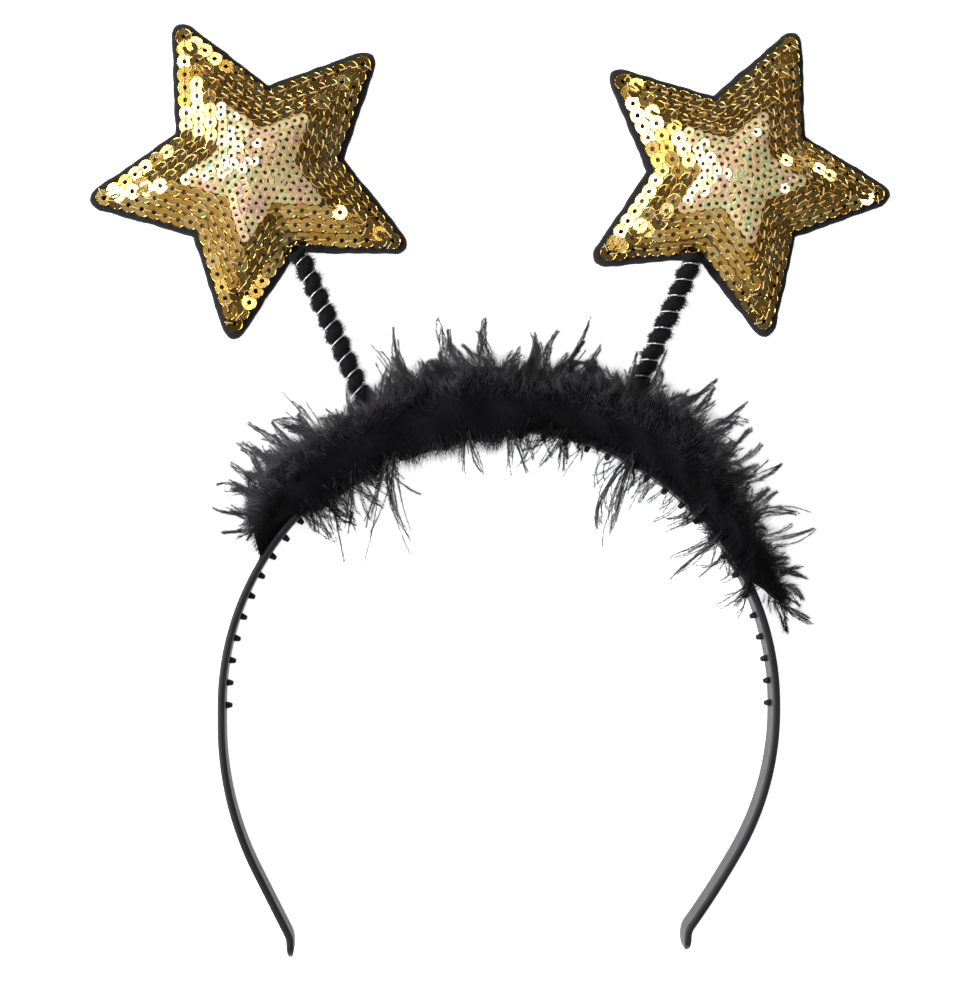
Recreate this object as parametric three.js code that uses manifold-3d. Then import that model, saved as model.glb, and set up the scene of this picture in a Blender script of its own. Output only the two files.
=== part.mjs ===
// Party headband: a toothed plastic band dressed with a marabou trim, and two padded sequin stars on springs.
// Millimetres, +Z up. It lies on its back: the stars face up and the band's opening points to -Y.
// Bearings are degrees clockwise from +Y about the centre of the crown, so the left side is negative.
import * as THREE from "three";
import { mergeVertices } from "three/addons/utils/BufferGeometryUtils.js";
import Module from "manifold-3d";

const wasm = await Module();
wasm.setup();

// Driving dimensions
const CLEARANCE = 0.3;

const BAND = { crownRadius: 67.5, thickness: 1.8, depth: 9.6, chamfer: 0.45, crownSteps: 15 };

// Each leg carries on from the end of its quarter of the crown: turn is the bend over that length
const LEGS = [
  { side: -1, part: "spread", length: 4.5, turn: 0, steps: 1 },
  { side: -1, part: "calf", length: 36.7, turn: 26.6, steps: 5 },
  { side: -1, part: "shin", length: 17, turn: 0, steps: 1 },
  { side: -1, part: "heel", length: 2.4, turn: -25, steps: 3 },
  { side: 1, part: "spread", length: 1.5, turn: 0, steps: 1 },
  { side: 1, part: "calf", length: 36.2, turn: 30, steps: 5 },
  { side: 1, part: "shin", length: 21.5, turn: 5.7, steps: 2 },
  { side: 1, part: "heel", length: 2.6, turn: -34, steps: 3 },
];

// Rounding of a foot beyond its heel: how far along, and the share of the section that is left
const TOES = [
  { along: 1.4, share: 0.97 },
  { along: 1.2, share: 0.82 },
  { along: 0.8, share: 0.55 },
  { along: 0.4, share: 0.25 },
];

const TEETH = { count: 39, span: 180, length: 1.6, rootRadius: 0.85, tipRadius: 0.6, sink: 0.4 };

const TRIM = {
  start: -56,
  end: 68,
  stations: 18,
  coreRadius: 75.2,
  coreHalfWidth: 7.8,
  coreMid: 6,
  coreHalfHeight: 9,
  corners: 10,
  endShare: 0.6,
  bandClearRadius: 69,
  bandClearTop: 10,
  springClearRadius: 3.1,
  fanOut: 42,
};

// Rows of feather locks around the core: lean is measured from outward up towards +Z
const LOCK_ROWS = [
  { row: "hem", lean: 8, count: 16, length: 11, width: 4.4, droop: -0.6 },
  { row: "brow", lean: 38, count: 17, length: 10, width: 4.6, droop: 1.2 },
  { row: "crest", lean: 72, count: 15, length: 8.5, width: 4.4, droop: 1.6 },
  { row: "front", lean: 106, count: 13, length: 7.5, width: 4.2, droop: 1.4 },
  { row: "fringe", lean: 150, count: 14, length: 8, width: 3.4, droop: 1.0 },
];

// A lock is a flattened leaf: belly is its girth halfway along, flatness its thickness against its width
const LOCK_LEAF = { belly: 0.86, flatness: 0.62, sink: 2.4 };

// How far the locks of a row stray from even: places along the row, lean and fan in degrees, share of length
const LOCK_SCATTER = { place: 0.4, lean: 16, fan: 26, length: 0.4 };

const SPRING = {
  axisHeight: 4.8,
  pitch: 4.3,
  wireRadius: 0.25,
  wireCoil: 2.0,
  pileRadius: 1.25,
  pileCoil: 1.25,
  tailLength: 12.5,
  stepsPerTurn: 7,
};

const STAR = {
  points: 5,
  notchShare: 0.489,
  goldRows: 3,
  rowPitch: 3.06,
  feltMargin: 3.2,
  feltThickness: 1.5,
  padMargin: 1.5,
  padRim: 0.6,
  padRise: 6.4,
  padFullness: 2.1,
  padDome: 4,
  fieldMargin: 1.4,
  fieldThickness: 0.5,
  rowRelief: 0.4,
  edgeSteps: 2,
};

// Insets from the first sequin row: in the gold field row crests alternate with the dips between them
const GOLD_INSETS = [-STAR.fieldMargin];
for (let row = 0; row < STAR.goldRows; row += 1) {
  GOLD_INSETS.push(row * STAR.rowPitch, (row + 0.5) * STAR.rowPitch);
}
const CENTRE_INSETS = [0.35, 2.3, 4.6].map((step) => GOLD_INSETS.at(-1) + step);

const BOPPERS = [
  { side: "left", springBearing: -24, starBearing: -24.64, reach: 142.8, tipBearing: -27.8, rowTip: 37.2 },
  { side: "right", springBearing: 23.6, starBearing: 24.12, reach: 141.26, tipBearing: 23.4, rowTip: 36 },
];

const MATERIALS = {
  bandPlastic: { color: 0x17161a, roughness: 0.32, metalness: 0 },
  marabou: { color: 0x121014, roughness: 0.95, metalness: 0 },
  springWire: { color: 0xc9ccd2, roughness: 0.25, metalness: 1 },
  chenille: { color: 0x0e0d10, roughness: 0.95, metalness: 0 },
  felt: { color: 0x242327, roughness: 0.95, metalness: 0 },
  padFabric: { color: 0x2b2417, roughness: 0.9, metalness: 0 },
  goldSequins: { color: 0xd6a437, roughness: 0.22, metalness: 1 },
  centreSequins: { color: 0xf0dfae, roughness: 0.18, metalness: 0.6 },
};

// General helpers
const radians = THREE.MathUtils.degToRad;

function polar(radius, bearing, z = 0) {
  return new THREE.Vector3(radius * Math.sin(radians(bearing)), radius * Math.cos(radians(bearing)), z);
}

function spread(index, step) {
  const value = (index + 1) * step;
  return value - Math.floor(value);
}

function signedVolume(points, faces) {
  let volume = 0;
  for (let i = 0; i < faces.length; i += 3) {
    const a = points[faces[i]];
    const b = points[faces[i + 1]];
    const c = points[faces[i + 2]];
    volume += a.dot(new THREE.Vector3().crossVectors(b, c)) / 6;
  }
  return volume;
}

// Skin over rings of equal length: the ends close to their middle, or the last ring meets the first
function loft(rings, ringLoop = false) {
  const size = rings[0].length;
  const points = rings.flat();
  const faces = [];
  const bands = ringLoop ? rings.length : rings.length - 1;
  for (let r = 0; r < bands; r += 1) {
    const here = r * size;
    const there = ((r + 1) % rings.length) * size;
    for (let k = 0; k < size; k += 1) {
      const next = (k + 1) % size;
      faces.push(here + k, here + next, there + next);
      faces.push(here + k, there + next, there + k);
    }
  }
  if (!ringLoop) {
    const ends = [
      { ring: rings[0], offset: 0, flip: true },
      { ring: rings[rings.length - 1], offset: (rings.length - 1) * size, flip: false },
    ];
    for (const { ring, offset, flip } of ends) {
      const middle = ring.reduce((sum, point) => sum.add(point), new THREE.Vector3()).divideScalar(size);
      const apex = points.push(middle) - 1;
      for (let k = 0; k < size; k += 1) {
        const next = (k + 1) % size;
        const pair = flip ? [offset + next, offset + k] : [offset + k, offset + next];
        faces.push(apex, ...pair);
      }
    }
  }
  if (signedVolume(points, faces) < 0) {
    faces.reverse();
  }
  const geometry = new THREE.BufferGeometry().setFromPoints(points);
  geometry.setIndex(faces);
  return geometry;
}

function toSolid(geometry) {
  const bare = geometry.clone();
  bare.deleteAttribute("normal");
  bare.deleteAttribute("uv");
  const welded = mergeVertices(bare, 1e-5);
  const vertProperties = new Float32Array(welded.attributes.position.array);
  const triVerts = new Uint32Array(welded.index.array);
  return new wasm.Manifold(new wasm.Mesh({ numProp: 3, vertProperties, triVerts }));
}

function toGeometry(solid) {
  const { vertProperties, triVerts } = solid.getMesh();
  const geometry = new THREE.BufferGeometry();
  geometry.setAttribute("position", new THREE.BufferAttribute(new Float32Array(vertProperties), 3));
  geometry.setIndex(new THREE.BufferAttribute(new Uint32Array(triVerts), 1));
  return geometry;
}

function largestPiece(solid) {
  return solid.decompose().reduce((best, piece) => (piece.volume() > best.volume() ? piece : best));
}

function piece(name, geometry, look) {
  geometry.computeVertexNormals();
  const mesh = new THREE.Mesh(geometry, new THREE.MeshStandardMaterial(MATERIALS[look]));
  mesh.name = name;
  return mesh;
}

// Headband
function bandSection(station, share) {
  const outward = polar(1, station.bearing - 90);
  const half = (BAND.thickness / 2) * share;
  const middle = BAND.depth / 2;
  const reach = middle * share;
  const chamfer = BAND.chamfer * share;
  const corners = [
    [-half + chamfer, -reach],
    [half - chamfer, -reach],
    [half, -reach + chamfer],
    [half, reach - chamfer],
    [half - chamfer, reach],
    [-half + chamfer, reach],
    [-half, reach - chamfer],
    [-half, -reach + chamfer],
  ];
  return corners.map(([out, up]) => outward.clone().multiplyScalar(out).add(station.at).setZ(middle + up));
}

function walkLeg(side) {
  const quarter = { length: radians(90) * BAND.crownRadius, turn: 90, steps: BAND.crownSteps };
  const stretches = [quarter, ...LEGS.filter((row) => row.side === side)];
  const stations = [{ at: new THREE.Vector3(0, BAND.crownRadius, 0), bearing: 90, share: 1 }];
  const advance = (length, turn, share) => {
    const last = stations[stations.length - 1];
    const bend = radians(turn);
    const chord = bend === 0 ? length : (2 * length * Math.sin(bend / 2)) / bend;
    const at = polar(chord, last.bearing + turn / 2).add(last.at);
    stations.push({ at, bearing: last.bearing + turn, share });
  };
  for (const { length, turn, steps } of stretches) {
    for (let i = 0; i < steps; i += 1) {
      advance(length / steps, turn / steps, 1);
    }
  }
  for (const { along, share } of TOES) {
    advance(along, 0, share);
  }
  return stations;
}

function mirrored(station) {
  return { at: station.at.clone().setX(-station.at.x), bearing: 180 - station.bearing, share: station.share };
}

function buildHeadband() {
  const right = walkLeg(1);
  const left = walkLeg(-1).slice(1).map(mirrored).reverse();
  const rings = [...left, ...right].map((station) => bandSection(station, station.share));
  let band = toSolid(loft(rings));
  const innerRadius = BAND.crownRadius - BAND.thickness / 2;
  const height = TEETH.length + TEETH.sink;
  for (let i = 0; i < TEETH.count; i += 1) {
    const bearing = TEETH.span * (i / (TEETH.count - 1) - 0.5);
    const tooth = new THREE.CylinderGeometry(TEETH.rootRadius, TEETH.tipRadius, height, 6);
    tooth.rotateZ(radians(-bearing));
    const middle = polar(innerRadius + TEETH.sink - height / 2, bearing, BAND.depth / 2);
    tooth.translate(middle.x, middle.y, middle.z);
    band = band.add(toSolid(tooth));
  }
  return piece("headband", toGeometry(band), "bandPlastic");
}

// Feather trim
function trimPoint(bearing, lean, share) {
  const out = TRIM.coreHalfWidth * Math.cos(radians(lean)) * share;
  const up = TRIM.coreHalfHeight * Math.sin(radians(lean)) * share;
  return polar(TRIM.coreRadius + out, bearing, TRIM.coreMid + up);
}

function featherLock(row, index) {
  const stray = LOCK_SCATTER.place * (spread(index, 0.618) - 0.5);
  const spot = (index + 0.5 + stray) / row.count;
  const bearing = THREE.MathUtils.lerp(TRIM.start, TRIM.end, spot);
  const lean = row.lean + LOCK_SCATTER.lean * (spread(index, 0.382) - 0.5);
  const length = row.length * (1 + LOCK_SCATTER.length * (spread(index, 0.734) - 0.5));
  const fan = TRIM.fanOut * (2 * spot - 1) ** 3 + LOCK_SCATTER.fan * (spread(index, 0.541) - 0.5);
  const along = polar(1, bearing + 90);
  const outward = polar(1, bearing);
  const direction = outward.multiplyScalar(Math.cos(radians(lean)));
  direction.setZ(Math.sin(radians(lean)));
  direction.addScaledVector(along, Math.tan(radians(fan))).normalize();
  const height = length + LOCK_LEAF.sink;
  const leaf = new THREE.ConeGeometry(row.width, height, 4, 2);
  const place = new THREE.Quaternion().setFromUnitVectors(new THREE.Vector3(0, 1, 0), direction);
  const root = trimPoint(bearing, lean, 1);
  const spots = leaf.attributes.position;
  for (let i = 0; i < spots.count; i += 1) {
    const point = new THREE.Vector3().fromBufferAttribute(spots, i);
    const girth = Math.abs(point.y) < height / 4 ? 2 * LOCK_LEAF.belly : 1;
    point.x *= girth;
    point.z *= girth * LOCK_LEAF.flatness;
    point.applyAxisAngle(new THREE.Vector3(0, 1, 0), spread(index, 0.29) * Math.PI);
    point.y += height / 2 - LOCK_LEAF.sink;
    const reach = Math.max(point.y / length, 0);
    point.applyQuaternion(place).add(root);
    point.z -= row.droop * reach * reach;
    spots.setXYZ(i, point.x, point.y, point.z);
  }
  return toSolid(leaf);
}

function buildTrim() {
  const rings = [];
  for (let i = 0; i <= TRIM.stations; i += 1) {
    const spot = i / TRIM.stations;
    const bearing = THREE.MathUtils.lerp(TRIM.start, TRIM.end, spot);
    const share = i === 0 || i === TRIM.stations ? TRIM.endShare : 1;
    const ring = [];
    for (let k = 0; k < TRIM.corners; k += 1) {
      ring.push(trimPoint(bearing, (360 * (k + 0.5)) / TRIM.corners, share));
    }
    rings.push(ring);
  }
  let trim = toSolid(loft(rings));
  for (const row of LOCK_ROWS) {
    for (let i = 0; i < row.count; i += 1) {
      trim = trim.add(featherLock(row, i));
    }
  }
  const reach = 4 * TRIM.coreRadius;
  const floor = new THREE.BoxGeometry(reach, reach, reach);
  floor.translate(0, 0, -reach / 2);
  trim = trim.subtract(toSolid(floor));
  const bandRoom = new THREE.CylinderGeometry(TRIM.bandClearRadius, TRIM.bandClearRadius, reach, 60);
  bandRoom.rotateX(Math.PI / 2);
  bandRoom.translate(0, 0, TRIM.bandClearTop - reach / 2);
  trim = trim.subtract(toSolid(bandRoom));
  for (const { springBearing } of BOPPERS) {
    const springRoom = new THREE.CylinderGeometry(TRIM.springClearRadius, TRIM.springClearRadius, reach, 12);
    springRoom.translate(0, BAND.crownRadius + reach / 2, SPRING.axisHeight);
    springRoom.rotateZ(radians(-springBearing));
    trim = trim.subtract(toSolid(springRoom));
  }
  return piece("feather_trim", toGeometry(largestPiece(trim)), "marabou");
}

// Springs: each is built along +Y and then turned to its bearing, and its wire leaves the coil at the bottom
function coilEnds(bopper, radius) {
  const first = BAND.crownRadius + BAND.thickness / 2 + CLEARANCE + radius;
  const last = bopper.reach - feltNotch(bopper) - CLEARANCE - radius;
  return { first, last };
}

function coilPoints(bopper, radius, coil, phase) {
  const { first, last } = coilEnds(bopper, radius);
  const wireLast = coilEnds(bopper, SPRING.wireRadius).last;
  const count = Math.round(((last - first) / SPRING.pitch) * SPRING.stepsPerTurn);
  const points = [];
  for (let i = 0; i <= count; i += 1) {
    const along = THREE.MathUtils.lerp(first, last, i / count);
    const turn = (2 * Math.PI * (along - wireLast)) / SPRING.pitch + phase;
    points.push(new THREE.Vector3(coil * Math.sin(turn), along, SPRING.axisHeight + coil * Math.cos(turn)));
  }
  return points;
}

function roundShape(radius, sides) {
  const shape = new THREE.Shape();
  for (let k = 0; k < sides; k += 1) {
    const angle = (2 * Math.PI * k) / sides;
    const x = radius * Math.cos(angle);
    const y = radius * Math.sin(angle);
    if (k === 0) {
      shape.moveTo(x, y);
    } else {
      shape.lineTo(x, y);
    }
  }
  shape.closePath();
  return shape;
}

function rodAlong(points, radius, sides, steps) {
  const path = new THREE.CatmullRomCurve3(points);
  path.arcLengthDivisions = points.length * 12;
  return new THREE.ExtrudeGeometry(roundShape(radius, sides), {
    steps,
    bevelEnabled: false,
    extrudePath: path,
  });
}

function tailHeight() {
  return STAR.feltThickness + CLEARANCE + SPRING.wireRadius;
}

function buildPile(bopper) {
  const points = coilPoints(bopper, SPRING.pileRadius, SPRING.pileCoil, 0);
  const rod = rodAlong(points, SPRING.pileRadius, 5, points.length - 1);
  rod.rotateZ(radians(-bopper.springBearing));
  return piece(`chenille_${bopper.side}`, rod, "chenille");
}

function buildWire(bopper) {
  const points = coilPoints(bopper, SPRING.wireRadius, SPRING.wireCoil, Math.PI);
  const tailStart = bopper.reach - feltNotch(bopper);
  const tailSteps = 4;
  points.push(new THREE.Vector3(0, tailStart, tailHeight() + SPRING.wireRadius));
  for (let i = 1; i <= tailSteps; i += 1) {
    points.push(new THREE.Vector3(0, tailStart + (SPRING.tailLength * i) / tailSteps, tailHeight()));
  }
  const rod = rodAlong(points, SPRING.wireRadius, 5, points.length);
  rod.rotateZ(radians(-bopper.springBearing));
  return piece(`spring_wire_${bopper.side}`, rod, "springWire");
}

// Stars: outlines are offsets of the first sequin row, which is a plain five-pointed star
function starAngles(bopper) {
  const notch = bopper.rowTip * STAR.notchShare;
  const step = Math.PI / STAR.points;
  const tipHalf = Math.atan2(notch * Math.sin(step), bopper.rowTip - notch * Math.cos(step));
  return { notch, tipSine: Math.sin(tipHalf), notchSine: Math.sin(tipHalf + step), tipHalf, step };
}

function feltNotch(bopper) {
  const { notch, notchSine } = starAngles(bopper);
  return notch + STAR.feltMargin / notchSine;
}

function starRing(bopper, inset, heightAt) {
  const { notch, tipSine, notchSine, step } = starAngles(bopper);
  const tip = bopper.rowTip - (inset > 0 ? inset / tipSine : inset);
  const dip = notch - inset / notchSine;
  const ring = [];
  for (let k = 0; k < 2 * STAR.points; k += 1) {
    const from = polar(k % 2 === 0 ? tip : dip, THREE.MathUtils.radToDeg(k * step));
    const to = polar(k % 2 === 0 ? dip : tip, THREE.MathUtils.radToDeg((k + 1) * step));
    for (let i = 0; i < STAR.edgeSteps; i += 1) {
      const spot = from.clone().lerp(to, i / STAR.edgeSteps);
      ring.push(spot.setZ(heightAt(spot.length())));
    }
  }
  return ring;
}

// The stuffing rises from the rim of the star and swells towards its middle
function padHeight(bopper, inset, radius) {
  const { tipSine } = starAngles(bopper);
  const deepest = bopper.rowTip * tipSine + STAR.padMargin;
  const share = Math.min((inset + STAR.padMargin) / deepest, 1);
  const base = STAR.feltThickness + CLEARANCE + STAR.padRim;
  const rise = STAR.padRise * (1 - (1 - share) ** STAR.padFullness);
  const nearness = 1 - Math.min(radius / bopper.rowTip, 1) ** 2;
  const dome = STAR.padDome * (1 - (1 - share) ** 2) * nearness ** 2;
  return base + rise + dome;
}

function placeOnStar(bopper, geometry) {
  const middle = polar(bopper.reach, bopper.starBearing);
  geometry.rotateZ(radians(-bopper.tipBearing));
  geometry.translate(middle.x, middle.y, 0);
  return geometry;
}

function buildFelt(bopper) {
  const { tipHalf, step } = starAngles(bopper);
  const outline = new THREE.Shape();
  for (let k = 0; k < STAR.points; k += 1) {
    const tipAngle = Math.PI / 2 - 2 * k * step;
    const dipAngle = tipAngle - step;
    const halfArc = Math.PI / 2 - tipHalf;
    const x = bopper.rowTip * Math.cos(tipAngle);
    const y = bopper.rowTip * Math.sin(tipAngle);
    outline.absarc(x, y, STAR.feltMargin, tipAngle + halfArc, tipAngle - halfArc, true);
    outline.lineTo(feltNotch(bopper) * Math.cos(dipAngle), feltNotch(bopper) * Math.sin(dipAngle));
  }
  outline.closePath();
  const felt = new THREE.ExtrudeGeometry(outline, {
    depth: STAR.feltThickness,
    bevelEnabled: false,
    curveSegments: 5,
  });
  return piece(`star_felt_${bopper.side}`, placeOnStar(bopper, felt), "felt");
}

function buildPad(bopper) {
  const floorHeight = STAR.feltThickness + CLEARANCE;
  const insets = [-STAR.padMargin, ...GOLD_INSETS.slice(1), ...CENTRE_INSETS];
  const rings = [starRing(bopper, -STAR.padMargin, () => floorHeight)];
  for (const inset of insets) {
    rings.push(starRing(bopper, inset, (radius) => padHeight(bopper, inset, radius)));
  }
  const pad = toSolid(placeOnStar(bopper, loft(rings)));
  const slotStart = bopper.reach - feltNotch(bopper);
  const slotLength = SPRING.tailLength + 2 * CLEARANCE;
  const slotWidth = 2 * (SPRING.wireRadius + CLEARANCE);
  const slotTop = tailHeight() + slotWidth / 2;
  const slot = new THREE.BoxGeometry(slotWidth, slotLength, slotTop - STAR.feltThickness);
  slot.translate(0, slotStart + slotLength / 2, (slotTop + STAR.feltThickness) / 2);
  slot.rotateZ(radians(-bopper.springBearing));
  return piece(`star_pad_${bopper.side}`, toGeometry(pad.subtract(toSolid(slot))), "padFabric");
}

function fieldRings(bopper, insets, lift) {
  return insets.map((inset, i) => {
    return starRing(bopper, inset, (radius) => padHeight(bopper, inset, radius) + lift(i));
  });
}

function buildGoldField(bopper) {
  const top = fieldRings(bopper, GOLD_INSETS, (i) => {
    return CLEARANCE + STAR.fieldThickness + (i % 2 === 1 ? STAR.rowRelief : 0);
  });
  const under = fieldRings(bopper, GOLD_INSETS, () => CLEARANCE).reverse();
  const field = placeOnStar(bopper, loft([...top, ...under], true));
  return piece(`gold_sequins_${bopper.side}`, field, "goldSequins");
}

function buildCentreField(bopper) {
  const top = fieldRings(bopper, CENTRE_INSETS, (i) => CLEARANCE + STAR.fieldThickness * (i === 0 ? 1 : 1.4));
  const under = fieldRings(bopper, CENTRE_INSETS, () => CLEARANCE).reverse();
  const field = placeOnStar(bopper, loft([...under, ...top]));
  return piece(`centre_sequins_${bopper.side}`, field, "centreSequins");
}

// Assembly
const headbandWithStars = new THREE.Group();
headbandWithStars.name = "star_bopper_headband";
headbandWithStars.add(buildHeadband());
headbandWithStars.add(buildTrim());
for (const bopper of BOPPERS) {
  headbandWithStars.add(buildWire(bopper));
  headbandWithStars.add(buildPile(bopper));
  headbandWithStars.add(buildFelt(bopper));
  headbandWithStars.add(buildPad(bopper));
  headbandWithStars.add(buildGoldField(bopper));
  headbandWithStars.add(buildCentreField(bopper));
}

// The origin goes to the middle of the base of the whole piece
const extent = new THREE.Box3().setFromObject(headbandWithStars);
const centre = extent.getCenter(new THREE.Vector3());
headbandWithStars.position.set(-centre.x, -centre.y, -extent.min.z);
headbandWithStars.updateMatrixWorld(true);

export default headbandWithStars;
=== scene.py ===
"""Looks of the star bopper headband: plastic band, marabou trim, chenille springs and sequin stars.

Shapes are worked out in millimetres in the row frame and scaled to metres when a mesh is made.
Bearings are degrees clockwise from +Y about the centre of the crown, so the left side is negative.
"""

import math
from types import SimpleNamespace as Sizes

import bpy
import numpy as np
from mathutils import Matrix, Vector


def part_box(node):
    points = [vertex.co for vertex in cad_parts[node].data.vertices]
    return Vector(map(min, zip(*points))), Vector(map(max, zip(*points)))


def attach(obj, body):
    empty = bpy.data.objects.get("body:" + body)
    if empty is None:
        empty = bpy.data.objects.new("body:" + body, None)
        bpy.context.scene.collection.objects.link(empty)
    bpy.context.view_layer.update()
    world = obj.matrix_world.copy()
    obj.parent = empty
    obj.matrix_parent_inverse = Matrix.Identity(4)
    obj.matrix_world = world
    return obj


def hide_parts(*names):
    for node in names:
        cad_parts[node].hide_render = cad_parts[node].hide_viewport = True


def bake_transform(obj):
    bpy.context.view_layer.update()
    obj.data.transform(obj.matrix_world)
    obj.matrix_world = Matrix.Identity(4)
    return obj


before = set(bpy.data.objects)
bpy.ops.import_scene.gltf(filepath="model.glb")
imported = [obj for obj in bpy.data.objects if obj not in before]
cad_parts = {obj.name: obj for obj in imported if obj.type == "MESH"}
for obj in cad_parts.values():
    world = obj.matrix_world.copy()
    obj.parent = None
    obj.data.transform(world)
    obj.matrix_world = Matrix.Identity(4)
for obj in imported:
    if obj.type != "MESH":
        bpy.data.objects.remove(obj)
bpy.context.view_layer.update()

MM = 0.001
rng = np.random.default_rng(41)


def table(columns, *rows):
    """Rows of named values, under a heading of column names."""
    return [Sizes(**dict(zip(columns.split(), row))) for row in rows]


# Driving dimensions, as in the part's source
BAND = Sizes(crown_radius=67.5, thickness=1.8, depth=9.6, round=0.6, ridge=0.08, ridge_half=0.16)

# Each leg carries on from the end of its quarter of the crown: turn is the bend over that length
LEGS = table(
    "side part length turn steps",
    (-1, "spread", 4.5, 0, 2),
    (-1, "calf", 36.7, 26.6, 18),
    (-1, "shin", 17, 0, 8),
    (-1, "heel", 2.4, -25, 5),
    (1, "spread", 1.5, 0, 1),
    (1, "calf", 36.2, 30, 18),
    (1, "shin", 21.5, 5.7, 9),
    (1, "heel", 2.6, -34, 5),
)
CROWN_STEPS = 60
TOE = Sizes(length=3.8, steps=8, end_share=0.2)
TEETH = Sizes(
    count=39, span=180, length=1.6, root_radius=0.85, tip_radius=0.6, sink=0.4, rounding=0.35, sides=12,
)

TRIM = Sizes(
    start=-56, end=66.5, mid=6, half_height=7.4, cover=2.2, start_cut=2.4, end_cut=3.6, floor=0.15,
    band_radius=68.45, band_top=10,
)

# How far out from the crown's centre the trim's body and its longest tufts reach, by bearing
TRIM_SHAPE = table(
    "bearing body reach",
    (-56, 76, 82),
    (-50, 80, 87),
    (-42, 82.5, 90),
    (-34, 82, 89.5),
    (-28, 80, 85),
    (-18, 82.5, 88.5),
    (-8, 85, 93),
    (2, 83.5, 89),
    (10, 82.5, 90),
    (16, 84.5, 94),
    (28, 86.5, 92),
    (36, 85.5, 95.5),
    (44, 82, 92),
    (50, 79.5, 88.5),
    (57, 77, 88),
    (63, 76, 84),
    (69, 74.5, 79),
)

SPRING = Sizes(
    axis_height=4.8, pitch=4.3, crest=3.0, groove=1.3, fibres=170, fibre_girth=0.075,
    wire_coil=2.05, strand=0.14, twists=11, rows=14, columns=24, wire_steps=40, strand_sides=6,
)
PILE = Sizes(body=0.7, foot=0.9, crown=0.1, ruffle=0.38, bunching=1.6, length=0.32, shorn=0.25, floor=0.1)
CLEARANCE = 0.3

# Each spring is cut in two at a radius. The second length is half the stretch beside the cut that is worked
# out for each half
SPLIT_RADIUS = 100
BEND_HALF = 8

STAR = Sizes(
    points=5, notch_share=0.489, row_pitch=3.06, felt_margin=3.2, felt_point=0.6, felt_thickness=1.5,
    pad_margin=1.5, pad_floor=1.8, pad_base=2.4, pad_rise=6.4, pad_fullness=2.1, pad_dome=4,
    pad_columns=200, pad_rings=22, pad_share=0.96,
)

# Spring, star and tip are bearings, tip being the way that the star's first point faces. Past the radius
# called clear, the spring stands out of the trim. Lean is how far the uneven stuffing tips the sequins
# towards +X and +Y, in degrees
BOPPERS = table(
    "side spring clear star reach tip row_tip lean",
    ("left", -24, 78, -24.64, 142.8, -27.8, 37.2, (-1.6, -1.3)),
    ("right", 23.6, 82.5, 24.12, 141.26, 23.4, 36, (-1.1, 2.0)),
)

low_corner, high_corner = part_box("headband")
CROWN_X = (low_corner.x + high_corner.x) / 2 / MM
CROWN_Y = high_corner.y / MM - BAND.crown_radius - BAND.thickness / 2
CROWN = np.array((CROWN_X, CROWN_Y))
UP = np.array([0.0, 0.0, 1.0])


# General helpers
def polar(radius, bearing, height=0.0):
    """Points at radii and bearings about the centre of the crown."""
    angle = np.radians(bearing)
    x = CROWN_X + radius * np.sin(angle)
    y = CROWN_Y + radius * np.cos(angle)
    return np.stack(np.broadcast_arrays(x, y, height), axis=-1).astype(float)


def heading(bearing, height=0.0):
    """Directions along bearings, with a rise."""
    angle = np.radians(bearing)
    return np.stack(np.broadcast_arrays(np.sin(angle), np.cos(angle), height), axis=-1).astype(float)


def from_crown(points):
    """How far points are from the centre of the crown, seen from above."""
    return np.linalg.norm(points[..., :2] - CROWN, axis=-1)


def unit(vectors):
    """The same directions with a length of one."""
    size = np.linalg.norm(vectors, axis=-1, keepdims=True)
    return vectors / np.maximum(size, 1e-9)


def square_to(axis, vectors):
    """The directions of vectors, made square to axes of length one."""
    return unit(vectors - axis * np.sum(vectors * axis, axis=1, keepdims=True))


def grid_faces(rows, columns, loop_rows=False):
    """Two triangles for each cell of a grid of points whose columns close on themselves."""
    row = np.arange(rows if loop_rows else rows - 1)
    here, place = np.meshgrid(row, np.arange(columns), indexing="ij")
    there = (here + 1) % rows
    onward = (place + 1) % columns
    a = here * columns + place
    b = here * columns + onward
    c = there * columns + onward
    d = there * columns + place
    first = np.stack([a, b, c], axis=-1).reshape(-1, 3)
    second = np.stack([a, c, d], axis=-1).reshape(-1, 3)
    return np.concatenate([first, second])


def fan_faces(middle, ring, flip):
    """Triangles from one point to a closed ring of points."""
    onward = np.roll(ring, -1)
    pair = [onward, ring] if flip else [ring, onward]
    return np.stack([np.full(len(ring), middle), *pair], axis=-1)


def capped(rings, start, end):
    """Points and faces of a body of rings, with a fan round a middle point at either end."""
    rows, columns = np.shape(rings)[:2]
    last = rows * columns
    ring = np.arange(columns)
    fans = [fan_faces(last, ring, True), fan_faces(last + 1, ring + last - columns, False)]
    points = np.concatenate([np.reshape(rings, (-1, 3)), [start, end]])
    return points, np.concatenate([grid_faces(rows, columns), *fans])


def circle(sides):
    """Even angles round a circle."""
    return 2 * np.pi * np.arange(sides) / sides


def lathe(outline, sides):
    """Rings of points round +Z, from an outline of radii and heights."""
    radius, height = np.array(outline).T[..., None]
    x, y, z = np.broadcast_arrays(radius * np.cos(circle(sides)), radius * np.sin(circle(sides)), height)
    return np.stack([x, y, z], axis=-1)


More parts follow.
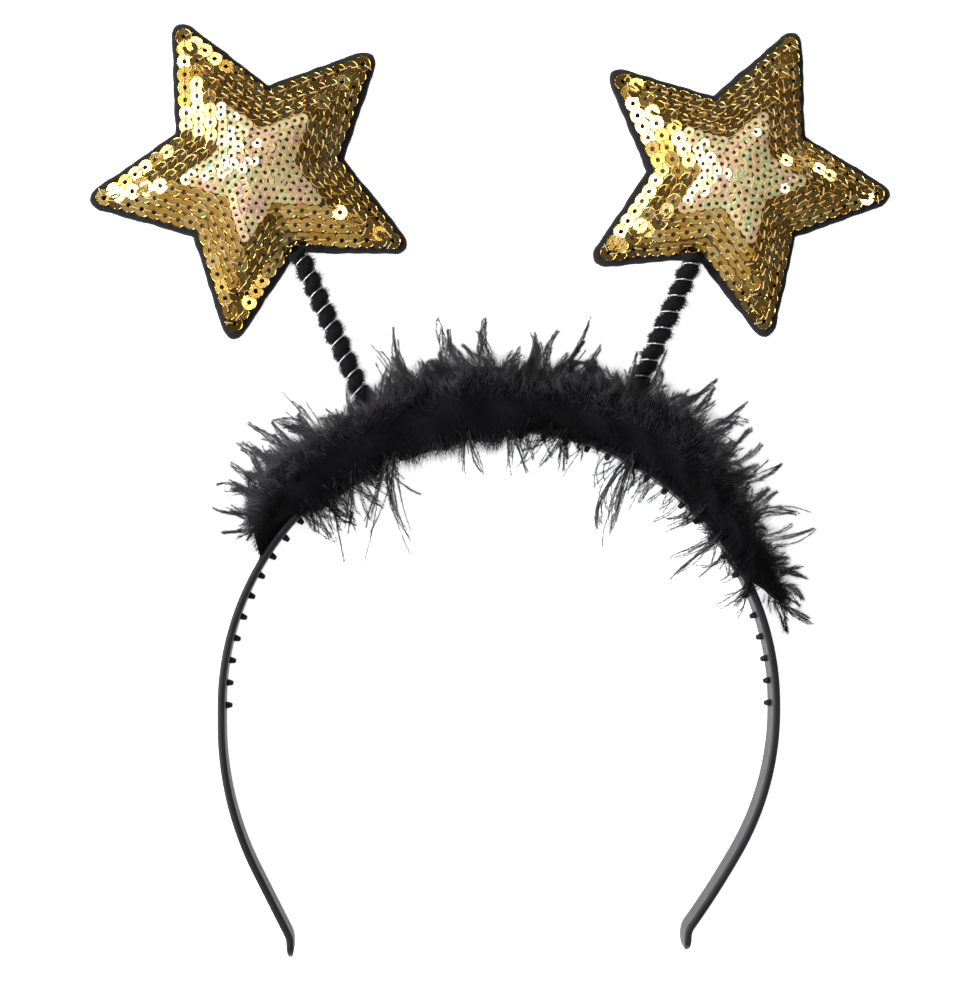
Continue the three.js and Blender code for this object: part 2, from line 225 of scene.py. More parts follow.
class Skin:
    """Triangles of one object. Every point carries a tint from 0 to 1 that its material may read."""

    def __init__(self):
        self.points = []
        self.faces = []
        self.smooth = []
        self.tints = []
        self.count = 0

    def add(self, points, faces, tint=0.5, smooth=True):
        points = np.asarray(points, float).reshape(-1, 3)
        faces = np.asarray(faces, int).reshape(-1, 3)
        self.points.append(points)
        self.faces.append(faces + self.count)
        self.smooth.append(np.broadcast_to(smooth, len(faces)))
        self.tints.append(np.broadcast_to(np.asarray(tint, float), len(points)))
        self.count += len(points)

    def copies(self, template, faces, places, frames, tints, smooth=True):
        """One copy of a template for each place, turned by its frame of three column vectors."""
        self.add_each(places[:, None] + np.einsum("nij,mj->nmi", frames, template), faces, tints, smooth)

    def add_each(self, points, faces, tints, smooth=True):
        """Bodies of the same faces, one for each row of points, each with its tint."""
        count, size = points.shape[:2]
        step = np.arange(count)[:, None, None] * size
        smooth = np.tile(np.broadcast_to(smooth, len(faces)), count)
        self.add(points, faces + step, np.repeat(tints, size), smooth)

    def make(self, name, material):
        points = np.concatenate(self.points) * MM
        faces = np.concatenate(self.faces).astype(np.int32)
        mesh = bpy.data.meshes.new(name)
        mesh.vertices.add(len(points))
        mesh.vertices.foreach_set("co", points.astype(np.float32).ravel())
        mesh.loops.add(faces.size)
        mesh.loops.foreach_set("vertex_index", faces.ravel())
        mesh.polygons.add(len(faces))
        mesh.polygons.foreach_set("loop_start", np.arange(0, faces.size, 3, dtype=np.int32))
        mesh.polygons.foreach_set("use_smooth", np.concatenate(self.smooth))
        mesh.update(calc_edges=True)
        tint = mesh.attributes.new("tint", "FLOAT", "POINT")
        tint.data.foreach_set("value", np.concatenate(self.tints).astype(np.float32))
        mesh.materials.append(material)
        piece = bpy.data.objects.new(name, mesh)
        bpy.context.scene.collection.objects.link(piece)
        return piece


def add_tube(skin, path, outward, radius, sides):
    """A closed round tube along a path, with a direction off the path given at each point."""
    tangent = unit(np.gradient(path, axis=0))
    across = square_to(tangent, outward)
    other = np.cross(tangent, across)
    angle = circle(sides)[:, None]
    spokes = across[:, None] * np.cos(angle) + other[:, None] * np.sin(angle)
    skin.add(*capped(path[:, None] + spokes * radius, path[0], path[-1]))


def add_hairs(skin, feet, tips, girth, tints):
    """Fine three-sided hairs whose feet are sunk in what carries them."""
    axis = unit(tips - feet)
    level = np.abs(axis[:, 2:]) < 0.8
    across = unit(np.cross(axis, np.where(level, UP, [1.0, 0.0, 0.0])))
    other = np.cross(axis, across)
    corners = []
    for turn in np.radians([0, 120, 240]):
        corners.append(feet + girth * (across * math.cos(turn) + other * math.sin(turn)))
    points = np.stack([*corners, tips], axis=1)
    skin.add_each(points, np.array([[0, 1, 3], [1, 2, 3], [2, 0, 3]]), tints)


def place_piece(piece, body, slot, *nodes):
    """A piece that moves with a body and stands for CAD nodes."""
    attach(piece, body)
    if nodes:
        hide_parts(*nodes)
    return piece


# Materials
class Nodes:
    """A node tree with short ways to add nodes to it."""

    def __init__(self, tree):
        self.nodes = tree.nodes
        self.links = tree.links

    def put(self, socket, value):
        """Sets an input to a value, or links it to the output of another node."""
        if isinstance(value, bpy.types.NodeSocket):
            self.links.new(value, socket)
        else:
            socket.default_value = value

    def node(self, kind, **inputs):
        """A node with some of its inputs put in place by name."""
        node = self.nodes.new("ShaderNode" + kind)
        for name, value in inputs.items():
            self.put(node.inputs[name.replace("_", " ")], value)
        return node

    def join(self, operation, first, second, kind="Math"):
        """Outcome of an operation on two values."""
        node = self.node(kind)
        node.operation = operation
        self.put(node.inputs[0], first)
        self.put(node.inputs[1], second)
        return node.outputs["Value"]

    def ramp(self, value, stops):
        """Colour for a value, from a table of (value, colour)."""
        node = self.node("ValToRGB", Fac=value)
        elements = node.color_ramp.elements
        while len(elements) < len(stops):
            elements.new(1.0)
        for element, (place, colour) in zip(elements, stops):
            element.position = place
            element.color = (*colour, 1.0)
        return node.outputs["Color"]


class Paint(Nodes):
    """A node material with its main shader and short ways to add texture to it."""

    def __init__(self, name):
        self.material = bpy.data.materials.new(name)
        self.material.use_nodes = True
        super().__init__(self.material.node_tree)
        self.shader = self.nodes["Principled BSDF"]
        self.spot = self.node("TexCoord").outputs["Object"]

    def fix(self, **values):
        for socket, value in values.items():
            self.put(self.shader.inputs[socket.replace("_", " ")], value)

    def noise(self, size, detail=3.0):
        """Cloudy texture whose patches are about size millimetres across."""
        return self.node("TexNoise", Vector=self.spot, Scale=1 / (size * MM), Detail=detail).outputs["Fac"]

    def weave(self, size, direction):
        """Even ribs of thread, size millimetres apart."""
        node = self.node("TexWave", Vector=self.spot, Scale=0.314 / (size * MM), Distortion=0.6)
        node.bands_direction = direction
        return node.outputs["Fac"]

    def tint(self):
        node = self.node("Attribute")
        node.attribute_name = "tint"
        return node.outputs["Fac"]

    def colours(self, value, stops):
        self.fix(Base_Color=self.ramp(value, stops))

    def rough(self, value, least, most):
        self.fix(Roughness=self.node("MapRange", Value=value, To_Min=least, To_Max=most).outputs["Result"])

    def bump(self, value, depth, strength):
        """Relief of a depth in millimetres."""
        node = self.node("Bump", Height=value, Strength=strength, Distance=depth * MM)
        self.fix(Normal=node.outputs["Normal"])


def plastic_paint():
    paint = Paint("band_plastic")
    paint.colours(paint.noise(6), [(0.3, (0.010, 0.010, 0.012)), (0.7, (0.017, 0.017, 0.020))])
    paint.rough(paint.noise(1.5), 0.40, 0.55)
    paint.bump(paint.noise(0.5), 0.02, 0.4)
    paint.fix(Specular_IOR_Level=0.3)
    return paint.material


def marabou_paint():
    paint = Paint("marabou_down")
    shade = paint.join("MULTIPLY", paint.tint(), paint.join("ADD", paint.noise(6), 0.5))
    # The palest stop colours the outer tufts, and is partly painted light shining through them
    stops = [(0.0, (0.0025, 0.002, 0.003)), (0.35, (0.024, 0.023, 0.025)), (0.9, (0.135, 0.13, 0.138))]
    paint.colours(shade, stops)
    paint.rough(paint.noise(2), 0.7, 0.9)
    paint.fix(Specular_IOR_Level=0.15)
    return paint.material


def chenille_paint():
    paint = Paint("chenille_pile")
    paint.colours(paint.tint(), [(0.1, (0.006, 0.006, 0.007)), (0.9, (0.022, 0.021, 0.024))])
    paint.rough(paint.noise(0.8), 0.75, 0.95)
    paint.fix(Specular_IOR_Level=0.25)
    return paint.material


def wire_paint():
    paint = Paint("twisted_wire")
    paint.colours(paint.noise(0.6), [(0.3, (0.62, 0.63, 0.66)), (0.7, (0.92, 0.92, 0.94))])
    paint.rough(paint.noise(0.3), 0.16, 0.34)
    paint.fix(Metallic=1.0)
    return paint.material


def felt_paint():
    paint = Paint("pressed_felt")
    value = paint.join("MULTIPLY", paint.join("ADD", paint.noise(0.45, 6), paint.tint()), 0.5)
    paint.colours(value, [(0.25, (0.012, 0.012, 0.014)), (0.75, (0.048, 0.046, 0.052))])
    paint.rough(paint.noise(0.7), 0.85, 1.0)
    paint.bump(paint.noise(0.35, 6), 0.15, 0.8)
    paint.fix(Sheen_Weight=0.15, Specular_IOR_Level=0.2)
    return paint.material


def backing_paint():
    paint = Paint("backing_cloth")
    threads = paint.join("MULTIPLY", paint.weave(0.5, "X"), paint.weave(0.5, "Y"))
    paint.colours(threads, [(0.1, (0.05, 0.033, 0.012)), (0.9, (0.20, 0.13, 0.045))])
    paint.rough(threads, 0.8, 0.95)
    paint.bump(threads, 0.1, 0.6)
    return paint.material


def gold_paint():
    paint = Paint("gold_foil")
    clouds = paint.join("MULTIPLY", paint.noise(1.2), 0.3)
    value = paint.join("ADD", clouds, paint.join("MULTIPLY", paint.tint(), 0.7))
    stops = [(0.1, (0.68, 0.37, 0.06)), (0.5, (0.84, 0.52, 0.13)), (0.9, (0.94, 0.68, 0.26))]
    paint.colours(value, stops)
    paint.rough(paint.noise(0.7), 0.10, 0.17)
    paint.bump(paint.noise(1.4, 1), 0.02, 0.15)
    paint.fix(Metallic=1.0)
    return paint.material


def iridescent_paint():
    """Pale gold film with small flecks of mint, peach and lilac."""
    paint = Paint("iridescent_foil")
    flecks = paint.join("MULTIPLY", paint.join("SUBTRACT", paint.noise(0.8, 2), 0.5), 2.6)
    drifts = paint.join("MULTIPLY", paint.join("SUBTRACT", paint.noise(5, 1), 0.5), 1.1)
    discs = paint.join("MULTIPLY", paint.tint(), 0.4)
    value = paint.join("ADD", paint.join("ADD", flecks, drifts), paint.join("ADD", discs, 0.36))
    stops = [
        (0.02, (0.28, 0.71, 0.56)),
        (0.14, (0.75, 0.80, 0.44)),
        (0.28, (0.96, 0.76, 0.32)),
        (0.60, (0.96, 0.79, 0.40)),
        (0.74, (0.92, 0.44, 0.18)),
        (0.86, (0.96, 0.73, 0.42)),
        (0.98, (0.89, 0.55, 0.54)),
    ]
    paint.colours(value, stops)
    paint.rough(paint.noise(0.6), 0.12, 0.26)
    paint.bump(paint.noise(0.7, 2), 0.02, 0.4)
    paint.fix(Metallic=0.35, Coat_Weight=0.3, Coat_Roughness=0.12)
    return paint.material


def thread_paint():
    paint = Paint("sewing_thread")
    paint.colours(paint.noise(0.5), [(0.3, (0.66, 0.47, 0.17)), (0.7, (0.95, 0.80, 0.46))])
    paint.rough(paint.noise(0.4), 0.35, 0.5)
    paint.fix(Metallic=0.2)
    return paint.material


def floor_paint():
    paint = Paint("pale_floor")
    paint.colours(paint.noise(60), [(0.2, (0.90, 0.90, 0.90)), (0.8, (0.92, 0.92, 0.92))])
    paint.rough(paint.noise(20), 0.8, 0.9)
    paint.fix(Emission_Color=(1, 1, 1, 1), Emission_Strength=0.85)
    return paint.material


# Headband
def walk_leg(side):
    """Stations from the top of the crown to one foot: place off the crown's centre, bearing and share."""
    quarter = math.radians(90) * BAND.crown_radius
    stretches = [(quarter, 90, CROWN_STEPS)]
    stretches += [(row.length, row.turn, row.steps) for row in LEGS if row.side == side]
    moves = []
    for length, turn, steps in stretches:
        moves += [(length / steps, turn / steps, 1.0)] * steps
    for step in range(1, TOE.steps + 1):
        share = max(TOE.end_share, (1 - (step / TOE.steps) ** 3) ** 0.55)
        moves.append((TOE.length / TOE.steps, 0, share))
    stations = [(np.array([0, BAND.crown_radius]), 90.0, 1.0)]
    for length, turn, share in moves:
        place, bearing, _ = stations[-1]
        bend = math.radians(turn)
        chord = length if turn == 0 else 2 * length * math.sin(bend / 2) / bend
        onward = place + chord * heading(bearing + turn / 2)[:2]
        stations.append((onward, bearing + turn, share))
    return stations


def band_profile():
    """Rounded section of the band with a faint parting ridge on both edges: out and up from its middle."""
    half = BAND.thickness / 2
    reach = BAND.depth / 2
    bend = BAND.round
    points = []
    for out, up, start in ((1, 1, 0), (-1, 1, 90), (-1, -1, 180), (1, -1, 270)):
        middle = np.array([out * (half - bend), up * (reach - bend)])
        for angle in np.radians(start + np.linspace(0, 90, 6)):
            points.append(middle + bend * np.array([math.cos(angle), math.sin(angle)]))
        if start in (0, 180):
            points.append((out * BAND.ridge_half, up * reach))
            points.append((0, up * (reach + BAND.ridge)))
            points.append((-out * BAND.ridge_half, up * reach))
        else:
            for rise in (0.9, 0.3, -0.3, -0.9):
                points.append((out * half, up * rise * (reach - bend)))
    return np.array(points)


def build_headband(material):
    right = walk_leg(1)
    left = []
    for place, bearing, share in reversed(walk_leg(-1)[1:]):
        left.append((place * [-1, 1], 180 - bearing, share))
    profile = band_profile()
    rings = []
    for place, bearing, share in left + right:
        ring = np.zeros((len(profile), 3))
        ring[:, :2] = place + profile[:, :1] * share * heading(bearing - 90)[:2] + CROWN
        ring[:, 2] = np.maximum(BAND.depth / 2 + profile[:, 1] * share, 0)
        rings.append(ring)
    skin = Skin()
    skin.add(*capped(rings, rings[0].mean(0), rings[-1].mean(0)))
    add_teeth(skin)
    return skin.make("band_moulding", material)


def add_teeth(skin):
    """One row of round-ended teeth along the middle of the band's inner face."""
    inner = BAND.crown_radius - BAND.thickness / 2
    height = TEETH.length + TEETH.sink
    outline = [(TEETH.root_radius, 0), (TEETH.root_radius * 0.93, 0.5 * height)]
    for angle in np.radians([0, 30, 60, 82]):
        radius = TEETH.tip_radius * (0.4 + 0.6 * math.cos(angle))
        outline.append((radius, height - TEETH.rounding * (1 - math.sin(angle))))
    rings = lathe(outline, TEETH.sides)[..., [0, 2, 1]]
    bearings = TEETH.span * (np.arange(TEETH.count) / (TEETH.count - 1) - 0.5)
    places = polar(inner + TEETH.sink, bearings, BAND.depth / 2)
    inward = -heading(bearings)
    up = np.broadcast_to(UP, inward.shape)
    frames = np.stack([np.cross(inward, up), inward, up], axis=-1)
    skin.copies(*capped(rings, [0, 0, 0], [0, height, 0]), places, frames, np.full(len(places), 0.5))


# Stars
class Star:
    """Outline and padded surface of one star, about its own middle with one tip along +Y."""

    def __init__(self, row):
        self.row = row
        self.step = math.pi / STAR.points
        self.tip = row.row_tip
        self.notch = self.tip * STAR.notch_share
        rise = self.notch * math.sin(self.step)
        run = self.tip - self.notch * math.cos(self.step)
        self.tip_half = math.atan2(rise, run)
        self.edge = math.hypot(rise, run)
        self.depth = self.tip * math.sin(self.tip_half)
        self.middle = polar(row.reach, row.star)
        turns = np.arange(2 * STAR.points) * self.step
        reach = np.where(np.arange(len(turns)) % 2 == 0, self.tip, self.notch)
        self.corners = np.stack([reach * np.sin(turns), reach * np.cos(turns)], axis=-1)

    def inset(self, spots, soft=1.6):
        """How far inside the first sequin row a spot is. Soft rounds the ridges and valleys."""
        radius = np.maximum(np.linalg.norm(spots, axis=-1), 1e-6)
        turn = np.arctan2(spots[..., 0], spots[..., 1])
        turn = np.abs((turn + self.step) % (2 * self.step) - self.step)
        blunt = np.minimum(soft / radius, 0.35)
        turn = np.sqrt(turn**2 + blunt**2)
        turn = self.step - np.sqrt((self.step - turn) ** 2 + (0.6 * blunt) ** 2)
        return self.depth - radius * np.cos(math.pi / 2 - self.tip_half - turn)

    def height(self, spots):
        """Top of the stuffing, which rises from the rim of the star and swells towards its middle."""
        margin = STAR.pad_margin
        share = np.clip((self.inset(spots) + margin) / (self.depth + margin), 0, 1)
        rise = STAR.pad_rise * (1 - (1 - share) ** STAR.pad_fullness)
        nearness = 1 - np.minimum(np.linalg.norm(spots, axis=-1) / self.tip, 1) ** 2
        dome = STAR.pad_dome * (1 - (1 - share) ** 2) * nearness**2
        return STAR.pad_base + rise + dome

    def on_pad(self, spots):
        """Points of the stuffing's top."""
        return np.concatenate([spots, self.height(spots)[:, None]], axis=1)

    def normal(self, spots):
        """Directions square to the stuffing's top."""
        reach = 0.5
        slope = []
        for step in ([reach, 0], [0, reach]):
            slope.append((self.height(spots + step) - self.height(spots - step)) / (2 * reach))
        return unit(np.stack([-slope[0], -slope[1], np.ones(len(spots))], axis=-1))

    def row_spots(self, inset, spacing):
        """Places along one row, and the direction that the row runs in at each."""
        corners = self.corners * (1 - inset / self.depth)
        steps = max(1, round(self.edge * (1 - inset / self.depth) / spacing))
        share = (np.arange(steps) / steps)[None, :, None]
        spots = corners[:, None] * (1 - share) + np.roll(corners, -1, axis=0)[:, None] * share
        spots = spots.reshape(-1, 2)
        return spots, unit(np.roll(spots, -1, axis=0) - np.roll(spots, 1, axis=0))

    def place(self, points):
        """Points about the star's middle, turned and moved to where the star is."""
        turn = math.radians(self.row.tip)
        x = points[..., 0] * math.cos(turn) + points[..., 1] * math.sin(turn)
        y = -points[..., 0] * math.sin(turn) + points[..., 1] * math.cos(turn)
        return np.stack([x, y, points[..., 2]], axis=-1) + self.middle


def felt_outline(star, pitch=0.6):
    """Even points along the felt's edge: the first sequin row grown by a margin, round at the tips."""
    margin = STAR.felt_margin
    half_arc = math.pi / 2 - star.tip_half
    dip = star.notch + margin / math.sin(star.tip_half + star.step)
    rough = []
    for k in range(STAR.points):
        turn = 2 * k * star.step
        for swing in np.linspace(-half_arc, half_arc, 13):
            spot = np.array([math.sin(turn), math.cos(turn)]) * star.tip
            reach = margin + STAR.felt_point * (1 - abs(swing) / half_arc) ** 1.5
            rough.append(spot + reach * np.array([math.sin(turn + swing), math.cos(turn + swing)]))
        rough.append(dip * np.array([math.sin(turn + star.step), math.cos(turn + star.step)]))
    rough = np.array(rough + rough[:1])
    along = np.concatenate([[0], np.cumsum(np.linalg.norm(np.diff(rough, axis=0), axis=1))])
    even = np.linspace(0, along[-1], round(along[-1] / pitch), endpoint=False)
    return np.stack([np.interp(even, along, rough[:, axis]) for axis in (0, 1)], axis=-1)


FELT = Sizes(
    wander=0.055, ruffle=0.03, hairs=4200, rim=2.3, edge=0.35, shortest=0.35, longest=0.95, girth=0.035,
)

# Section of the felt's edge: how far it stands out from the outline, and its height
FELT_EDGE = [
    (-0.35, 0.0),
    (-0.08, 0.18),
    (0.03, 0.6),
    (0.0, 1.0),
    (-0.14, 1.34),
    (-0.42, 1.48),
    (-1.0, 1.5),
    (-2.4, 1.5),
]


def build_felt(star, side, material):
    """The felt back, with an edge that wanders a little as cut felt does."""
    outline = felt_outline(star)
    onward = unit(np.roll(outline, -1, axis=0) - np.roll(outline, 1, axis=0))
    outward = np.stack([-onward[:, 1], onward[:, 0]], axis=-1)
    count = len(outline)
    wander = np.zeros(count)
    for waves in (9, 17, 31, 53):
        wander += FELT.wander * np.sin(waves * circle(count) + rng.uniform(0, 6))
    rings = []
    for grow, height in FELT_EDGE:
        ring = np.full((count, 3), height)
        ring[:, :2] = outline + outward * (grow + wander)[:, None]
        if 0 < height < STAR.felt_thickness:
            ring += rng.normal(0, FELT.ruffle, ring.shape)
        rings.append(ring)
    points, faces = capped(rings, [0, 0, 0], [0, 0, STAR.felt_thickness])
    skin = Skin()
    skin.add(star.place(points), faces, 0.4)
    add_felt_fuzz(skin, star, outline, outward)
    return skin.make(f"felt_back_{side}", material)


def add_felt_fuzz(skin, star, outline, outward):
    """Loose fibres over the felt's rim and along its edge."""
    count = FELT.hairs
    pick = rng.integers(0, len(outline), count)
    inward = rng.uniform(-0.05, FELT.rim, count)
    feet = np.zeros((count, 3))
    feet[:, :2] = outline[pick] - outward[pick] * inward[:, None] + rng.normal(0, 0.2, (count, 2))
    edge = inward < FELT.edge
    feet[:, 2] = np.where(edge, rng.uniform(0.25, 1.35, count), STAR.felt_thickness - 0.04)
    lie = rng.normal(0, 1, (count, 3))
    lie[:, 2] = np.where(edge, 0.4 * lie[:, 2], 0.25 * np.abs(lie[:, 2]) + 0.06)
    lie[:, :2] += outward[pick] * np.where(edge, 1.2, 0.15)[:, None]
    tips = feet + unit(lie) * rng.uniform(FELT.shortest, FELT.longest, count)[:, None]
    tips[:, 2] = np.maximum(tips[:, 2], 0.06)
    add_hairs(skin, star.place(feet), star.place(tips), FELT.girth, rng.uniform(0.3, 1, count))


def build_pad(star, side, material):
    """The stuffed body under the sequins, flat below and crowned above."""
    turn = circle(STAR.pad_columns)
    ray = np.stack([np.sin(turn), np.cos(turn)], axis=-1)
    edge = star.depth / (star.depth - star.inset(ray * 10)) * 10
    margin = 1 + STAR.pad_margin / star.depth
    rings = []
    for share in (1.0, *np.linspace(1, 0.04, STAR.pad_rings)):
        rings.append(star.on_pad(ray * (edge * share * margin * STAR.pad_share)[:, None]))
    rings[0][:, 2] = STAR.pad_floor
    points, faces = capped(rings, [0, 0, STAR.pad_floor], [0, 0, rings[-1][:, 2].max()])
    skin = Skin()
    skin.add(star.place(points), faces)
    return skin.make(f"stuffed_pad_{side}", material)


def disc_template(outline):
    """A sequin turned from radii and heights round its hole. Its face past the second pair is flat."""
    ring = np.repeat(np.arange(len(outline)), SEQUIN_SIDES)
    smooth = np.tile(ring != 1, 2)
    points = lathe(outline, SEQUIN_SIDES).reshape(-1, 3)
    return points, grid_faces(len(outline), SEQUIN_SIDES, loop_rows=True), smooth


def sequin_frames(star, spots, onward, slope, lap, climb, jitter):
    """Frames of sequins that follow a share of the pad's slope and lap over each other unevenly."""
    normal = unit(star.normal(spots) * [slope, slope, 1])
    ahead = np.concatenate([onward, np.zeros((len(spots), 1))], axis=1)
    ahead = square_to(normal, ahead)
    inside = np.cross(ahead, normal)
    tilt = np.radians(rng.normal([lap, climb], jitter, (len(spots), 2)))
    normal = unit(normal - ahead * np.tan(tilt[:, :1]) - inside * np.tan(tilt[:, 1:]))
    ahead = square_to(normal, ahead)
    return np.stack([ahead, np.cross(normal, ahead), normal], axis=-1)


def turned(star, frames):
    """Frames about the star's middle, turned as the star is and tipped as its stuffing leans."""
    turn = math.radians(star.row.tip)
    east, north = np.radians(star.row.lean)
    spin = Matrix.Rotation(-north, 3, "X") @ Matrix.Rotation(east, 3, "Y") @ Matrix.Rotation(-turn, 3, "Z")
    return np.einsum("ij,njk->nik", np.array(spin), frames)


def sew(skin, star, disc, spots, onward, slope, sizes):
    """Sequins at spots of the pad. Gives back where they lie and how they are turned."""
    frames = sequin_frames(star, spots, onward, slope, sizes.lap, sizes.climb, sizes.jitter)
    frames = turned(star, frames)
    places = star.place(star.on_pad(spots) + star.normal(spots) * sizes.lift)
    template, faces, smooth = disc
    skin.copies(template, faces, places, frames, rng.uniform(0, 1, len(places)), smooth)
    return places, frames


SEQUIN_SIDES = 18
GOLD = Sizes(
    radius=2.0, hole=0.58, spacing=3.05, slopes=[0.55, 0.83, 0.98], stray=0.10,
    lap=3.2, climb=2.2, jitter=0.9, lift=0.34,
)

# Sequins that fill the tips of the star between the rows, at insets counted in rows
FILLER = Sizes(insets=(0.5, 1.5), slope=1, lap=0, climb=0, jitter=0.9, lift=0.16)
CENTRE = Sizes(
    radius=1.45, hole=0.47, spacing=2.0, pitch=1.95, first=8.85, slope=1.0, stray=0.12,
    lap=4, climb=2.5, jitter=4.5, lift=0.34,
)

# A stitch: how far ahead of the middle of its sequin it runs, and how high
STITCH = [(0.45, -0.1), (0.65, 0.1), (1.2, 0.16), (1.8, 0.18), (2.2, 0.1), (2.4, -0.16)]
THREAD = Sizes(radius=0.135, sides=6, stray=0.14)


def gold_disc():
    """A flat sequin with a narrow turned-up rim."""
    r = GOLD.radius
    hole = GOLD.hole
    outline = [
        (hole, 0.0),
        (hole + 0.05, 0.035),
        (0.90 * r, 0.035),
        (0.945 * r, 0.042),
        (0.98 * r, 0.062),
        (r, 0.095),
        (r, 0.05),
        (hole + 0.05, -0.05),
    ]
    return disc_template(outline)


def small_disc():
    """A flat sequin with a rim that turns down."""
    r = CENTRE.radius
    hole = CENTRE.hole
    outline = [
        (hole, 0.0),
        (hole + 0.05, 0.03),
        (0.89 * r, 0.03),
        (0.95 * r, 0.01),
        (r, -0.04),
        (0.9 * r, -0.04),
    ]
    return disc_template(outline)


def add_stitches(skin, places, frames):
    """A stitch from the edge of each sequin's hole over its leading half and down beside the next."""
    path = np.array([(ahead, 0, height) for ahead, height in STITCH])
    stitch = Skin()
    add_tube(stitch, path, np.broadcast_to([0.0, 1.0, 0.0], path.shape), THREAD.radius, THREAD.sides)
    stray = rng.normal(0, THREAD.stray, (len(places), 1, 1))
    frames = frames + stray * np.stack([frames[..., 1], -frames[..., 0], 0 * frames[..., 2]], axis=-1)
    skin.copies(stitch.points[0], stitch.faces[0], places, frames, rng.uniform(0, 1, len(places)))


def build_gold(star, side, foil, thread):
    disc = gold_disc()
    discs = Skin()
    stitches = Skin()
    for row, slope in enumerate(GOLD.slopes):
        spots, onward = star.row_spots(row * STAR.row_pitch, GOLD.spacing)
        spots = spots + rng.normal(0, GOLD.stray, spots.shape)
        add_stitches(stitches, *sew(discs, star, disc, spots, onward, slope, GOLD))
    for rows in FILLER.insets:
        spots = star.corners[::2] * (1 - rows * STAR.row_pitch / star.depth)
        sew(discs, star, disc, spots, unit(spots), FILLER.slope, FILLER)
    return discs.make(f"gold_rows_{side}", foil), stitches.make(f"gold_stitches_{side}", thread)


def build_centre(star, side, foil):
    disc = small_disc()
    discs = Skin()
    for inset in np.arange(CENTRE.first, star.depth, CENTRE.pitch):
        spots, onward = star.row_spots(inset, CENTRE.spacing)
        spots = spots + rng.normal(0, CENTRE.stray, spots.shape)
        sew(discs, star, disc, spots, onward, CENTRE.slope, CENTRE)
    return discs.make(f"centre_rows_{side}", foil)


# Springs
def spring_ends(row):
    """Radii where a spring starts at the band and where it meets the star's felt."""
    star = Star(row)
    first = BAND.crown_radius + BAND.thickness / 2 + CLEARANCE
    last = row.reach - star.notch - STAR.felt_margin / math.sin(star.tip_half + star.step) - CLEARANCE
    return first, last


def coil_turn(row, along):
    """Angle of the pile's crest round the spring's axis, from +Z, at radii from the crown's centre."""
    _, last = spring_ends(row)
    return 2 * np.pi * (along - last) / SPRING.pitch


def around_spring(row, along, angle, reach):
    """Points at angles from +Z round a spring's axis, and their directions off it."""
    off = heading(row.spring + 90) * np.sin(angle)[..., None] + UP * np.cos(angle)[..., None]
    return polar(along, row.spring, SPRING.axis_height) + off * np.asarray(reach)[..., None], off


def pile_reach(turns):
    """How far the pile stands off the spring's axis: most at the crest of a turn, least in the groove."""
    return SPRING.groove + (SPRING.crest - SPRING.groove) * np.abs(np.cos(np.pi * turns)) ** 0.5


def build_chenille(row, name, start, end, material):
    """A screw-like ridge of pile round the spring's axis, with fibres all over it."""

    def spot(along, angle, inset):
        turns = (coil_turn(row, along) - angle) / (2 * np.pi)
        return around_spring(row, along, angle, pile_reach(turns - np.round(turns)) - inset)

    rows = round((end - start) / SPRING.pitch * SPRING.rows)
    along = np.repeat(np.linspace(start, end, rows)[:, None], SPRING.columns, axis=1)
    angle = np.repeat(circle(SPRING.columns)[None], rows, axis=0)
    body, _ = spot(along, angle, PILE.body)
    ends = polar(np.array([start, end]), row.spring, SPRING.axis_height)
    skin = Skin()
    skin.add(*capped(body, *ends), 0.05)
    count = int((end - start) * SPRING.fibres)
    along = rng.uniform(start, end, count)
    angle = rng.uniform(0, 2 * np.pi, count)
    feet, off = spot(along, angle, PILE.foot)
    crown, _ = spot(along, angle, PILE.crown)
    lie = rng.normal(0, PILE.ruffle, (count, 3))
    tips = crown + off * (rng.gamma(PILE.bunching, PILE.length, (count, 1)) - PILE.shorn) + lie
    tips[:, 2] = np.maximum(tips[:, 2], PILE.floor)
    add_hairs(skin, feet, tips, SPRING.fibre_girth, rng.uniform(0, 1, count) ** 1.5)
    return skin.make(name, material)


def build_wire(row, name, start, end, material):
    """Two fine strands twisted together and wound in the groove between the turns of pile."""
    steps = round((end - start) / SPRING.pitch * SPRING.wire_steps)
    along = np.linspace(start, end, steps)
    path, off = around_spring(row, along, coil_turn(row, along) + math.pi, SPRING.wire_coil)
    other = np.cross(unit(np.gradient(path, axis=0)), off)
    skin = Skin()
    for phase in (0, math.pi):
        twist = 2 * np.pi * along / SPRING.pitch * SPRING.twists + phase
        swing = off * np.cos(twist)[:, None] + other * np.sin(twist)[:, None]
        add_tube(skin, path + SPRING.strand * 0.9 * swing, off, SPRING.strand, SPRING.strand_sides)
    return skin.make(name, material)


def build_spring(row, pile, metal):
    """Both halves of a spring, cut at a radius: each a cord of pile and a twisted wire in place of the CAD
    ones.
    """
    side = row.side
    first, last = spring_ends(row)
    halves = [
        ("lower", first, SPLIT_RADIUS, "band", f"spring_{side}"),
        ("upper", SPLIT_RADIUS, last, f"spring_{side}", f"star_{side}"),
    ]
    for half, start, end, fixed, moving in halves:
        middle = SPLIT_RADIUS + (BEND_HALF if half == "upper" else -BEND_HALF)
        bend_start = polar(middle - BEND_HALF, row.spring, SPRING.axis_height) * MM
        bend_end = polar(middle + BEND_HALF, row.spring, SPRING.axis_height) * MM
        cord = build_chenille(row, f"chenille_{half}_{side}", start, end, pile)
        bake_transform(cord)
        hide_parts(f"chenille_{side}")
        wire = build_wire(row, f"twisted_wire_{half}_{side}", start, end, metal)
        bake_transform(wire)
        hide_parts(f"spring_wire_{side}")


